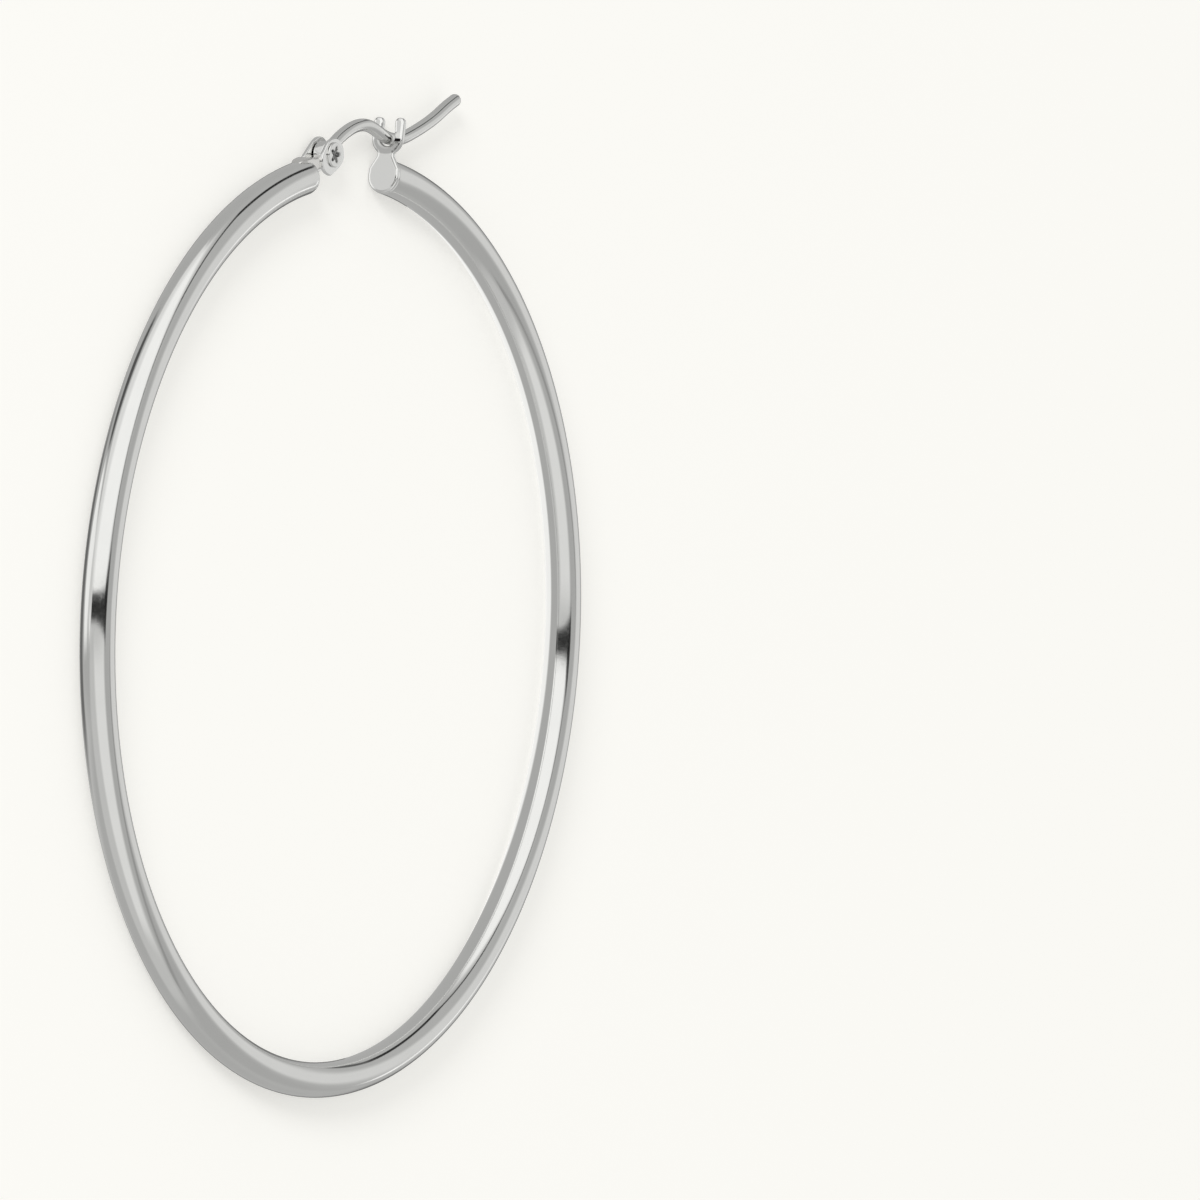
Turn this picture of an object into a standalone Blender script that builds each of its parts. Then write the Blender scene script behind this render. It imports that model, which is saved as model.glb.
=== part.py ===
"""A hoop earring: a hollow round tube with a hinged ear wire that snaps into a notched catch.

Units are metres. The hoop lies on its side on z = 0, with +Y towards its clasp and +Z out of its face.
"""

import math

import bmesh
import bpy
from mathutils import Matrix, Vector

MM = 0.001

# Hoop tube
HOOP_DIAMETER = 60.0 * MM
TUBE_DIAMETER = 2.25 * MM
TUBE_WALL = 0.25 * MM
CLASP_GAP = 9.48 * MM
CAP_THICKNESS = 0.35 * MM
CAP_INSET = 0.03 * MM
SOLDER_OVERLAP = 0.10 * MM
VENT_DIAMETER = 0.50 * MM
VENT_DROP = 0.55 * MM
TUBE_SIDES = 20
TUBE_STEPS = 96

# Ear wire
WIRE_DIAMETER = 0.81 * MM
WIRE_RUN_CLEARANCE = 0.03 * MM
ARCH_RISE = 1.15 * MM
TAIL_LENGTH = 8.70 * MM
TAIL_RISE = 1.18 * MM
WIRE_SIDES = 12
WIRE_STEPS = 4

# Hinge bracket and its rivet
PIVOT_REACH = 2.40 * MM
PIVOT_RISE = 1.00 * MM
EAR_THICKNESS = 0.26 * MM
EAR_RADIUS = 1.40 * MM
EAR_EDGE_ROUND = 0.05 * MM
WEB_TOP = 1.14 * MM
WEB_FOOT = 0.30 * MM
WEB_OVER_TUBE = 0.25 * MM
EYE_DIAMETER = 1.70 * MM
EYE_THICKNESS = 0.76 * MM
EYE_CLEARANCE = 0.05 * MM
RIVET_DIAMETER = 0.62 * MM
RIVET_CLEARANCE = 0.03 * MM
RIVET_HEAD_DIAMETER = 1.36 * MM
RIVET_HEAD_HEIGHT = 0.12 * MM
RIVET_HEAD_GAP = 0.02 * MM
RIVET_PUNCH_DIAMETER = 0.62 * MM
RIVET_PUNCH_DEPTH = 0.10 * MM
ROUND_SIDES = 20

# Catch fork
CATCH_RISE = 2.46 * MM
NOTCH_CLEARANCE = 0.215 * MM
NOTCH_MOUTH_CLEARANCE = 0.04 * MM
NECK_WIDTH = 0.90 * MM
PRONG_TIP_RISE = 0.95 * MM
FORK_SIDE_INSET = 0.01 * MM
NOTCH_SIDE_ANGLE = 8.0
ARC_STEPS = 8

# Arch of the ear wire, hinge to notch
# (share of the span, share of the arch rise)
ARCH_PATH = ((0.243, 0.40), (0.409, 0.90), (0.560, 1.05), (0.674, 0.97), (0.878, 0.42))

# Tail of the ear wire, notch to tip
# (share of the tail length, share of the tail rise)
TAIL_PATH = ((0.055, -0.13), (0.141, -0.27), (0.278, -0.27), (0.448, -0.15), (0.704, 0.31), (1.000, 1.00))

# Outline of one hinge ear round the rivet axis
# (share of the ear radius along the gap, share of it outwards)
EAR_OUTLINE = (
    (-1.22, -0.16),
    (-1.20, 0.02),
    (-0.68, 0.27),
    (-0.42, 0.52),
    (-0.18, 0.70),
    (0.08, 0.77),
    (0.42, 0.72),
    (0.70, 0.55),
    (0.88, 0.27),
    (0.93, -0.18),
    (0.74, -0.49),
    (0.45, -0.70),
    (-0.16, -0.84),
    (-0.42, -0.82),
    (-0.86, -0.54),
    (-0.97, -0.36),
)

SILVER = ("polished_silver", (0.83, 0.83, 0.82, 1.0), 0.08)
WIRE_SILVER = ("ear_wire_silver", (0.80, 0.80, 0.79, 1.0), 0.10)
RIVET_SILVER = ("rivet_silver", (0.76, 0.76, 0.75, 1.0), 0.16)

TUBE_RADIUS = TUBE_DIAMETER / 2
WIRE_RADIUS = WIRE_DIAMETER / 2
HOOP_RADIUS = HOOP_DIAMETER / 2 - TUBE_RADIUS
GAP_ANGLE = math.asin(CLASP_GAP / 2 / HOOP_RADIUS)
EAR_INNER = WIRE_RADIUS + WIRE_RUN_CLEARANCE
EAR_OUTER = EAR_INNER + EAR_THICKNESS
NOTCH_RADIUS = WIRE_RADIUS + NOTCH_CLEARANCE
MOUTH_HALF_WIDTH = WIRE_RADIUS + NOTCH_MOUTH_CLEARANCE
FORK_HALF_WIDTH = TUBE_RADIUS - FORK_SIDE_INSET


def arc(centre, radius, start, end, steps=ARC_STEPS):
    """Points of a circular arc, end points included; angles in degrees."""
    cx, cy = centre
    angles = [math.radians(start + (end - start) * i / steps) for i in range(steps + 1)]
    return [(cx + radius * math.cos(a), cy + radius * math.sin(a)) for a in angles]


def smooth_path(points, steps):
    """A curve through all the points, each stretch following its neighbours' directions."""
    first = points[0] * 2 - points[1]
    last = points[-1] * 2 - points[-2]
    run = [first, *points, last]
    path = []
    for a, b, c, d in zip(run, run[1:], run[2:], run[3:]):
        for i in range(steps):
            t = i / steps
            path.append(
                0.5
                * (
                    b * 2
                    + (c - a) * t
                    + (a * 2 - b * 5 + c * 4 - d) * t**2
                    + (b * 3 - a - c * 3 + d) * t**3
                )
            )
    path.append(points[-1])
    return path


def end_frame(side):
    """Frame of a tube end in the hoop's own frame: X along +tangent, Y outwards, Z up.

    side is -1 at the hinge, where X points into the gap, and +1 at the catch, where it leaves it.
    """
    outwards = Vector((side * math.sin(GAP_ANGLE), math.cos(GAP_ANGLE), 0.0))
    along = Vector((outwards.y, -outwards.x, 0.0))
    frame = Matrix.Identity(4)
    frame.col[0].xyz = along
    frame.col[1].xyz = outwards
    frame.col[3].xyz = outwards * HOOP_RADIUS
    return frame


def wire_path():
    """Centre line of the ear wire in the hoop's own frame, from the edge of its eye to its tip."""
    pivot = end_frame(-1) @ Vector((PIVOT_REACH, PIVOT_RISE, 0.0))
    notch = end_frame(1) @ Vector((0.0, CATCH_RISE, 0.0))
    span = notch - pivot
    along = span.normalized()
    up = Vector((-along.y, along.x, 0.0))
    points = [pivot]
    points += [pivot + span * s + up * ARCH_RISE * rise for s, rise in ARCH_PATH]
    points.append(notch)
    points += [notch + along * TAIL_LENGTH * s + up * TAIL_RISE * rise for s, rise in TAIL_PATH]
    path = smooth_path(points, WIRE_STEPS)
    buried = EYE_DIAMETER / 2 - SOLDER_OVERLAP
    start = pivot + (points[1] - pivot).normalized() * buried
    return [start] + [p for p in path if (p - pivot).length > EYE_DIAMETER / 2]


WIRE_PATH = wire_path()
REACH_ABOVE_CENTRE = WIRE_PATH[-1].y + WIRE_RADIUS
HOOP_CENTRE = Vector((0.0, (HOOP_DIAMETER / 2 - REACH_ABOVE_CENTRE) / 2, TUBE_RADIUS))
PLACE = Matrix.Translation(HOOP_CENTRE)


def clear_scene():
    """Removes every object, so that the model starts from nothing."""
    for obj in list(bpy.data.objects):
        bpy.data.objects.remove(obj, do_unlink=True)


def new_collection(name):
    """A new collection under the scene's own."""
    collection = bpy.data.collections.new(name)
    bpy.context.scene.collection.children.link(collection)
    return collection


def metal(finish):
    """A polished white metal from its name, colour and roughness."""
    name, colour, roughness = finish
    material = bpy.data.materials.new(name)
    material.use_nodes = True
    shader = material.node_tree.nodes["Principled BSDF"]
    shader.inputs["Base Color"].default_value = colour
    shader.inputs["Metallic"].default_value = 1.0
    shader.inputs["Roughness"].default_value = roughness
    material.diffuse_color = colour
    return material


def mesh_object(name, mesh, collection, matrix=None):
    """An object of a mesh in a collection, at a matrix in the world."""
    obj = bpy.data.objects.new(name, mesh)
    collection.objects.link(obj)
    if matrix is not None:
        obj.matrix_world = matrix
    return obj


def flat_plate(name, outline, thickness, collection, matrix):
    """A closed outline in the XY plane as a plate, centred on that plane."""
    curve = bpy.data.curves.new(name, "CURVE")
    curve.dimensions = "2D"
    curve.fill_mode = "BOTH"
    curve.extrude = thickness / 2
    spline = curve.splines.new("POLY")
    spline.points.add(len(outline) - 1)
    for point, (x, y) in zip(spline.points, outline):
        point.co = (x, y, 0.0, 1.0)
    spline.use_cyclic_u = True
    return welded_mesh(mesh_object(name, curve, collection, matrix))


def welded_mesh(source):
    """Turns a curve object into a mesh object whose caps are welded to its sides."""
    bpy.context.view_layer.update()
    evaluated = source.evaluated_get(bpy.context.evaluated_depsgraph_get())
    mesh = bpy.data.meshes.new_from_object(evaluated)
    work = bmesh.new()
    work.from_mesh(mesh)
    bmesh.ops.remove_doubles(work, verts=work.verts, dist=0.0001 * MM)
    bmesh.ops.recalc_face_normals(work, faces=work.faces)
    work.to_mesh(mesh)
    work.free()
    name, collection, matrix = source.name, source.users_collection[0], source.matrix_world.copy()
    bpy.data.objects.remove(source, do_unlink=True)
    return mesh_object(name, mesh, collection, matrix)


def cylinder(name, radius, depth, collection, matrix, sides=ROUND_SIDES):
    """A closed cylinder along the local Z axis of a matrix, centred on its origin."""
    mesh = bpy.data.meshes.new(name)
    work = bmesh.new()
    bmesh.ops.create_cone(
        work, cap_ends=True, segments=sides, radius1=radius, radius2=radius, depth=depth
    )
    work.to_mesh(mesh)
    work.free()
    return mesh_object(name, mesh, collection, matrix)


def block(name, low, high, collection, matrix):
    """A box between two corners given in the frame of a matrix."""
    size = Vector(high) - Vector(low)
    centre = (Vector(high) + Vector(low)) / 2
    mesh = bpy.data.meshes.new(name)
    work = bmesh.new()
    place = Matrix.Translation(centre) @ Matrix.Diagonal((*size, 1.0))
    bmesh.ops.create_cube(work, size=1.0, matrix=place)
    work.to_mesh(mesh)
    work.free()
    return mesh_object(name, mesh, collection, matrix)


def combine(target, tool, operation):
    """Joins a tool to the target, or cuts it away; the tool stays as a hidden guide."""
    modifier = target.modifiers.new(f"{operation.lower()} {tool.name}", "BOOLEAN")
    modifier.operation = operation
    modifier.solver = "EXACT"
    modifier.object = tool
    tool.hide_render = True
    tool.display_type = "WIRE"


def tube_shell(name, collection):
    """The hollow tube: a circle turned round the hoop's axis, thickened inwards to its wall.

    The circle is drawn with a flat at its lowest side, on which the hoop lies.
    """
    vertex_radius = TUBE_RADIUS / math.cos(math.pi / TUBE_SIDES)
    angles = [math.pi / 2 - 2 * math.pi * (i + 0.5) / TUBE_SIDES for i in range(TUBE_SIDES)]
    ring = [(HOOP_RADIUS + vertex_radius * math.cos(a), 0.0, vertex_radius * math.sin(a)) for a in angles]
    edges = [(i, (i + 1) % TUBE_SIDES) for i in range(TUBE_SIDES)]
    mesh = bpy.data.meshes.new(name)
    mesh.from_pydata(ring, edges, [])
    end_angle = GAP_ANGLE + (CAP_THICKNESS - SOLDER_OVERLAP) / HOOP_RADIUS
    turn = Matrix.Rotation(math.pi / 2 + end_angle, 4, "Z")
    tube = mesh_object(name, mesh, collection, PLACE @ turn)
    screw = tube.modifiers.new("turn round the hoop axis", "SCREW")
    screw.axis = "Z"
    screw.angle = 2 * math.pi - 2 * end_angle
    screw.steps = TUBE_STEPS
    screw.render_steps = TUBE_STEPS
    screw.merge_threshold = 0.0001 * MM
    wall = tube.modifiers.new("tube wall", "SOLIDIFY")
    wall.thickness = TUBE_WALL
    wall.offset = -1.0
    wall.use_even_offset = True
    return tube


def catch_outline():
    """Outline of the stamped catch: end cap disc, neck and fork with its round notch.

    X runs across the plate and Y outwards from the tube's centre line.
    """
    cap_radius = TUBE_RADIUS - CAP_INSET
    neck = NECK_WIDTH / 2
    neck_angle = math.degrees(math.acos(neck / cap_radius))
    fork_centre = (0.0, CATCH_RISE)
    root_angle = math.degrees(math.acos(neck / FORK_HALF_WIDTH))
    tip_radius = (FORK_HALF_WIDTH - MOUTH_HALF_WIDTH) / 2
    tip_x = MOUTH_HALF_WIDTH + tip_radius
    tip_y = CATCH_RISE + PRONG_TIP_RISE
    right = arc(fork_centre, FORK_HALF_WIDTH, -root_angle, 0.0)
    right += arc((tip_x, tip_y), tip_radius, 0.0, 200.0)
    right += arc(fork_centre, NOTCH_RADIUS, NOTCH_SIDE_ANGLE, -90.0)
    left = [(-x, y) for x, y in reversed(right[:-1])]
    disc = arc((0.0, 0.0), cap_radius, 180.0 - neck_angle, 360.0 + neck_angle, steps=3 * ARC_STEPS)
    return right + left + disc


def ear_outline():
    """Outline of one hinge ear, placed round the rivet axis in the frame of the hinge end."""
    return [(PIVOT_REACH + EAR_RADIUS * x, PIVOT_RISE + EAR_RADIUS * y) for x, y in EAR_OUTLINE]


def hinge_bracket(collection):
    """The hinge's pieces soldered to the tube: end cap, web and two ears with the rivet's hole."""
    frame = PLACE @ end_frame(-1)
    facing_gap = Matrix.Translation((-CAP_THICKNESS / 2, 0.0, 0.0)) @ Matrix.Rotation(math.pi / 2, 4, "Y")
    cap = cylinder("hinge_cap", TUBE_RADIUS - CAP_INSET, CAP_THICKNESS, collection, frame @ facing_gap)
    web_half = EAR_INNER + EAR_THICKNESS / 2
    web_end = PIVOT_REACH - EYE_DIAMETER / 2 - EYE_CLEARANCE
    low = (-WEB_OVER_TUBE, WEB_FOOT, -web_half)
    web = block("hinge_web", low, (web_end, WEB_TOP, web_half), collection, frame)
    ears = []
    for side, name in ((1, "ear_front"), (-1, "ear_back")):
        height = Matrix.Translation((0.0, 0.0, side * (EAR_INNER + EAR_THICKNESS / 2)))
        ear = flat_plate(name, ear_outline(), EAR_THICKNESS, collection, frame @ height)
        rounding = ear.modifiers.new("rounded edge", "BEVEL")
        rounding.width = EAR_EDGE_ROUND
        rounding.segments = 1
        rounding.limit_method = "ANGLE"
        rounding.angle_limit = math.radians(60)
        ears.append(ear)
    return [cap, web, *ears]


def build_hoop(parts, cutters):
    """The soldered hoop: tube, both end caps, catch fork and hinge bracket in one solid."""
    hoop = tube_shell("hoop", parts)
    across = Matrix(((0, 0, 1, 0), (0, 1, 0, 0), (-1, 0, 0, 0), (0, 0, 0, 1)))
    catch_place = PLACE @ end_frame(1) @ Matrix.Translation((CAP_THICKNESS / 2, 0.0, 0.0)) @ across
    catch = flat_plate("catch_plate", catch_outline(), CAP_THICKNESS, cutters, catch_place)
    combine(hoop, catch, "UNION")
    for piece in hinge_bracket(cutters):
        combine(hoop, piece, "UNION")
    hinge = PLACE @ end_frame(-1)
    pivot = hinge @ Matrix.Translation((PIVOT_REACH, PIVOT_RISE, 0.0))
    hole_radius = RIVET_DIAMETER / 2 + RIVET_CLEARANCE
    hole = cylinder("rivet_hole", hole_radius, 2 * TUBE_DIAMETER, cutters, pivot)
    combine(hoop, hole, "DIFFERENCE")
    through_cap = Matrix.Translation((0.0, -VENT_DROP, 0.0)) @ Matrix.Rotation(math.pi / 2, 4, "Y")
    vent = cylinder("vent", VENT_DIAMETER / 2, 4 * CAP_THICKNESS, cutters, hinge @ through_cap, sides=8)
    combine(hoop, vent, "DIFFERENCE")
    hoop.data.materials.append(metal(SILVER))
    return hoop


def build_ear_wire(parts, cutters):
    """The ear wire: a round wire with a rounded tip, soldered to a flat eye on the rivet."""
    hinge_world = PLACE @ end_frame(-1)
    pivot = hinge_world @ Matrix.Translation((PIVOT_REACH, PIVOT_RISE, 0.0))
    eye = cylinder("ear_wire", EYE_DIAMETER / 2, EYE_THICKNESS, parts, pivot)
    curve = bpy.data.curves.new("wire", "CURVE")
    curve.dimensions = "3D"
    curve.bevel_depth = WIRE_RADIUS
    curve.bevel_resolution = (WIRE_SIDES - 4) // 2
    curve.use_fill_caps = True
    spline = curve.splines.new("POLY")
    tip = WIRE_PATH[-1]
    ahead = (tip - WIRE_PATH[-2]).normalized()
    rounding = [(0.35, 0.94), (0.70, 0.71), (0.92, 0.39)]
    run = [(p, 1.0) for p in WIRE_PATH]
    run += [(tip + ahead * WIRE_RADIUS * reach, radius) for reach, radius in rounding]
    spline.points.add(len(run) - 1)
    for point, (place, radius) in zip(spline.points, run):
        point.co = (*place, 1.0)
        point.radius = radius
    wire = welded_mesh(mesh_object("wire", curve, cutters, PLACE))
    combine(eye, wire, "UNION")
    bore_radius = RIVET_DIAMETER / 2 + RIVET_CLEARANCE
    combine(eye, cylinder("eye_bore", bore_radius, 2 * EYE_THICKNESS, cutters, pivot), "DIFFERENCE")
    eye.data.materials.append(metal(WIRE_SILVER))
    return eye


def build_rivet(parts, cutters):
    """The hinge rivet: a shaft with a flat head on each ear, its ends punched to spread them."""
    pivot = PLACE @ end_frame(-1) @ Matrix.Translation((PIVOT_REACH, PIVOT_RISE, 0.0))
    head_bottom = EAR_OUTER + RIVET_HEAD_GAP
    head_top = head_bottom + RIVET_HEAD_HEIGHT
    shaft_radius = RIVET_DIAMETER / 2
    head_radius = RIVET_HEAD_DIAMETER / 2
    edge = RIVET_HEAD_HEIGHT / 2
    punch_radius = RIVET_PUNCH_DIAMETER / 2
    upper = [
        (0.0, head_top - RIVET_PUNCH_DEPTH),
        (punch_radius, head_top),
        (head_radius - edge, head_top),
        (head_radius, head_top - edge),
        (head_radius, head_bottom),
        (shaft_radius, head_bottom),
    ]
    profile = upper + [(x, -z) for x, z in reversed(upper)]
    mesh = bpy.data.meshes.new("hinge_rivet")
    mesh.from_pydata([(x, 0.0, z) for x, z in profile], [(i, i + 1) for i in range(len(profile) - 1)], [])
    rivet = mesh_object("hinge_rivet", mesh, parts, pivot)
    screw = rivet.modifiers.new("turned profile", "SCREW")
    screw.axis = "Z"
    screw.angle = 2 * math.pi
    screw.steps = ROUND_SIDES
    screw.render_steps = ROUND_SIDES
    screw.use_merge_vertices = True
    screw.merge_threshold = 0.0001 * MM
    rivet.data.materials.append(metal(RIVET_SILVER))
    return rivet


def main():
    """Builds the earring into its collection, with the cutters and guides in another."""
    clear_scene()
    parts = new_collection("hoop_earring")
    cutters = new_collection("cutters")
    build_hoop(parts, cutters)
    build_ear_wire(parts, cutters)
    build_rivet(parts, cutters)


main()
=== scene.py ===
"""Looks of a round tube hoop earring with a hinged ear wire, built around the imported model.

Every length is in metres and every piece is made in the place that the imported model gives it.
"""

from __future__ import annotations

import logging
import math
from dataclasses import dataclass
from enum import Enum

import bmesh
import bpy
import numpy as np
from mathutils import Matrix, Vector


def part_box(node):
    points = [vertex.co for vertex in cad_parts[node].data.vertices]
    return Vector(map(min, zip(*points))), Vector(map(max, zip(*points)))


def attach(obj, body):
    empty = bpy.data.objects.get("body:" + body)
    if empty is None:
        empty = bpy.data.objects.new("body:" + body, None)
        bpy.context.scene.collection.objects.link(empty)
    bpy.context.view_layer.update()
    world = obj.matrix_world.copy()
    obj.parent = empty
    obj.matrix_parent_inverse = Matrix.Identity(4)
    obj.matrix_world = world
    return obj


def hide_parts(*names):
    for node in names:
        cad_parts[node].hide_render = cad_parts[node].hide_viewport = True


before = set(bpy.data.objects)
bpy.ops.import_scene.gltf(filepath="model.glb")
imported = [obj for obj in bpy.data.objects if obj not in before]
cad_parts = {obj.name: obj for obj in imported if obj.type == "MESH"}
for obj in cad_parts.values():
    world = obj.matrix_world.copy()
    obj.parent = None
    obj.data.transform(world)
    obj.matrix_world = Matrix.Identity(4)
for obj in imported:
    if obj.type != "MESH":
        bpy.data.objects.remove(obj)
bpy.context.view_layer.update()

Pair = tuple[float, float]
Triple = tuple[float, float, float]
Socket = bpy.types.NodeSocket
Piece = bpy.types.Object
Array = np.ndarray

LOG = logging.getLogger("hoop_earring")
MM = 0.001
MICRON = 0.000001

HOOP_DIAMETER = 60.0 * MM
TUBE_DIAMETER = 2.25 * MM
CLASP_GAP = 9.48 * MM
TUBE_RADIUS = TUBE_DIAMETER / 2
HOOP_RADIUS = HOOP_DIAMETER / 2 - TUBE_RADIUS
GAP_ANGLE = math.asin(CLASP_GAP / 2 / HOOP_RADIUS)
HOOP_CENTRE = np.array([0.0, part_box("hoop")[0][1] + HOOP_DIAMETER / 2, TUBE_RADIUS])
PIVOT_REACH = 2.40 * MM
PIVOT_RISE = 1.00 * MM
CATCH_RISE = 2.46 * MM
WIRE_RADIUS = 0.405 * MM
EDGE_HOLD = 0.015 * MM
BEVEL_ANGLE = 13.0
LEAST = 0.000001 * MM
QUAD_CORNERS = 4


class Side(Enum):
    """The two ends of the open hoop."""

    HINGE = -1
    CATCH = 1


class Body(Enum):
    """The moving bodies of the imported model."""

    HOOP = "hoop"
    EAR_WIRE = "ear_wire"


def end_axes(side: Side) -> tuple[Array, Array, Array]:
    """The unit directions at a tube end: along the tube's line, outwards from the hoop, and up."""
    across, reach = side.value * math.sin(GAP_ANGLE), math.cos(GAP_ANGLE)
    return np.array([reach, -across, 0.0]), np.array([across, reach, 0.0]), np.array([0.0, 0.0, 1.0])


def circle_angles(count: int) -> Array:
    """Evenly spread angles of a whole turn, in radians."""
    return 2 * np.pi * np.arange(count) / count


def at_end(side: Side, local: Array) -> Array:
    """Places points given at a tube end: along the tube's line, outwards from the hoop, and up.

    The point is the hoop's centre, plus the radius and the second value along the outward
    direction, plus the first value along the tangent, plus the third value upwards.

    Args:
        side: the end whose frame is used.
        local: points as an array whose last axis holds the three values.

    Returns:
        The points in the model's frame, in an array of the same shape.
    """
    along, outwards, up = end_axes(side)
    reach = (HOOP_RADIUS + local[..., 1:2]) * outwards
    return HOOP_CENTRE + local[..., 0:1] * along + reach + local[..., 2:3] * up


def turned(radius: Array, angles: Array, height: Array) -> Array:
    """Points round the hinge's axis: its place plus the radius times the cosine and sine, and a height.

    Args:
        radius: distance from the axis, one for each row or each point.
        angles: angles in radians, one for each column.
        height: height over the middle plane, one for each row or each point.

    Returns:
        The points in the model's frame, with their three values in the last axis.
    """
    along, outwards = PIVOT_REACH + radius * np.cos(angles), PIVOT_RISE + radius * np.sin(angles)
    return at_end(Side.HINGE, np.stack(np.broadcast_arrays(along, outwards, height), axis=2))


def smooth_curve(points: Array, steps: int, closed: bool = False) -> Array:
    """A curve through all the points: each stretch is a cubic that follows its neighbours' directions.

    Args:
        points: points in order, one a row.
        steps: points made for each stretch.
        closed: whether the last point leads back to the first.

    Returns:
        The finer points, one a row.
    """
    if closed:
        run = np.concatenate([points[-1:], points, points[:2]])
    else:
        run = np.concatenate([2 * points[:1] - points[1:2], points, 2 * points[-1:] - points[-2:-1]])
    a, b, c, d = (run[k : len(run) - 3 + k, None, :] for k in range(4))
    t = (np.arange(steps) / steps)[None, :, None]
    linear = (c - a) * t
    square = (2 * a - 5 * b + 4 * c - d) * t**2
    cube = (3 * b - a - 3 * c + d) * t**3
    fine = (0.5 * (2 * b + linear + square + cube)).reshape(-1, points.shape[1])
    return fine if closed else np.concatenate([fine, points[-1:]])


def smooth_line(points: Array, count: int) -> Array:
    """A line through all the points that bends evenly: a natural cubic spline over their distances.

    Between two points the place is their mix by distance, plus a sixth of the squared distance
    times each end's bending, weighted by the cube of its share less the share.

    Args:
        points: points in order, one a row.
        count: number of points of the result.

    Returns:
        Evenly spread points, one a row.
    """
    steps = np.linalg.norm(np.diff(points, axis=0), axis=1)
    places = np.concatenate([[0.0], np.cumsum(steps)])
    slopes = np.diff(points, axis=0) / steps[:, None]
    inner = np.arange(1, len(points) - 1)
    matrix = np.eye(len(points))
    matrix[inner, inner - 1] = steps[:-1]
    matrix[inner, inner] = 2 * (steps[:-1] + steps[1:])
    matrix[inner, inner + 1] = steps[1:]
    target = np.zeros_like(points)
    target[inner] = 6 * np.diff(slopes, axis=0)
    bend = np.linalg.solve(matrix, target)
    along = np.linspace(0.0, places[-1], count)
    k = np.clip(np.searchsorted(places, along, side="right") - 1, 0, len(steps) - 1)
    size = steps[k, None]
    near = (places[k + 1, None] - along[:, None]) / size
    far = 1.0 - near
    bent = ((near**3 - near) * bend[k] + (far**3 - far) * bend[k + 1]) * size**2 / 6
    return near * points[k] + far * points[k + 1] + bent


def arc(centre: Pair, radius: float, start: float, end: float, steps: int = 24) -> Array:
    """Points of an arc: its centre plus its radius times cosine and sine of evenly spaced angles.

    Args:
        centre: the arc's centre in its plane.
        radius: the arc's radius.
        start: first angle in degrees.
        end: last angle in degrees.
        steps: stretches between the points.

    Returns:
        The points, one a row.
    """
    angles = np.radians(np.linspace(start, end, steps + 1))
    return np.array(centre) + radius * np.stack([np.cos(angles), np.sin(angles)], axis=1)


def evened_outline(outline: Array, count: int, softness: float) -> Array:
    """Spreads points evenly along a closed outline and rounds its corners.

    The rounding is an average over the neighbours, weighted by a bell curve of the length between them.

    Args:
        outline: closed outline in its plane, one point a row.
        count: number of points of the result.
        softness: width of the bell curve.

    Returns:
        The evened outline, one point a row.
    """
    ring = np.concatenate([outline, outline[:1]])
    lengths = np.concatenate([[0.0], np.cumsum(np.linalg.norm(np.diff(ring, axis=0), axis=1))])
    places = np.arange(count) * lengths[-1] / count
    even = np.stack([np.interp(places, lengths, ring[:, k]) for k in range(2)], axis=1)
    gaps = np.minimum(places, lengths[-1] - places)
    weights = np.exp(-0.5 * (gaps / softness) ** 2)
    weights /= weights.sum()
    spectrum = np.fft.rfft(even, axis=0) * np.fft.rfft(weights)[:, None]
    return np.fft.irfft(spectrum, count, axis=0)


def inward_normals(outline: Array) -> Array:
    """Unit normals of a closed outline that point to its inside.

    Each is the direction between the two neighbours, turned a quarter turn towards the inside.

    Args:
        outline: closed outline in its plane, one point a row.

    Returns:
        The normals, one a row.
    """
    ahead = np.roll(outline, -1, axis=0) - np.roll(outline, 1, axis=0)
    ahead /= np.linalg.norm(ahead, axis=1, keepdims=True)
    after = np.roll(outline, -1, axis=0)
    area = np.sum(outline[:, 0] * after[:, 1] - outline[:, 1] * after[:, 0])
    turn = 1.0 if area > 0 else -1.0
    return turn * np.stack([-ahead[:, 1], ahead[:, 0]], axis=1)


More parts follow.
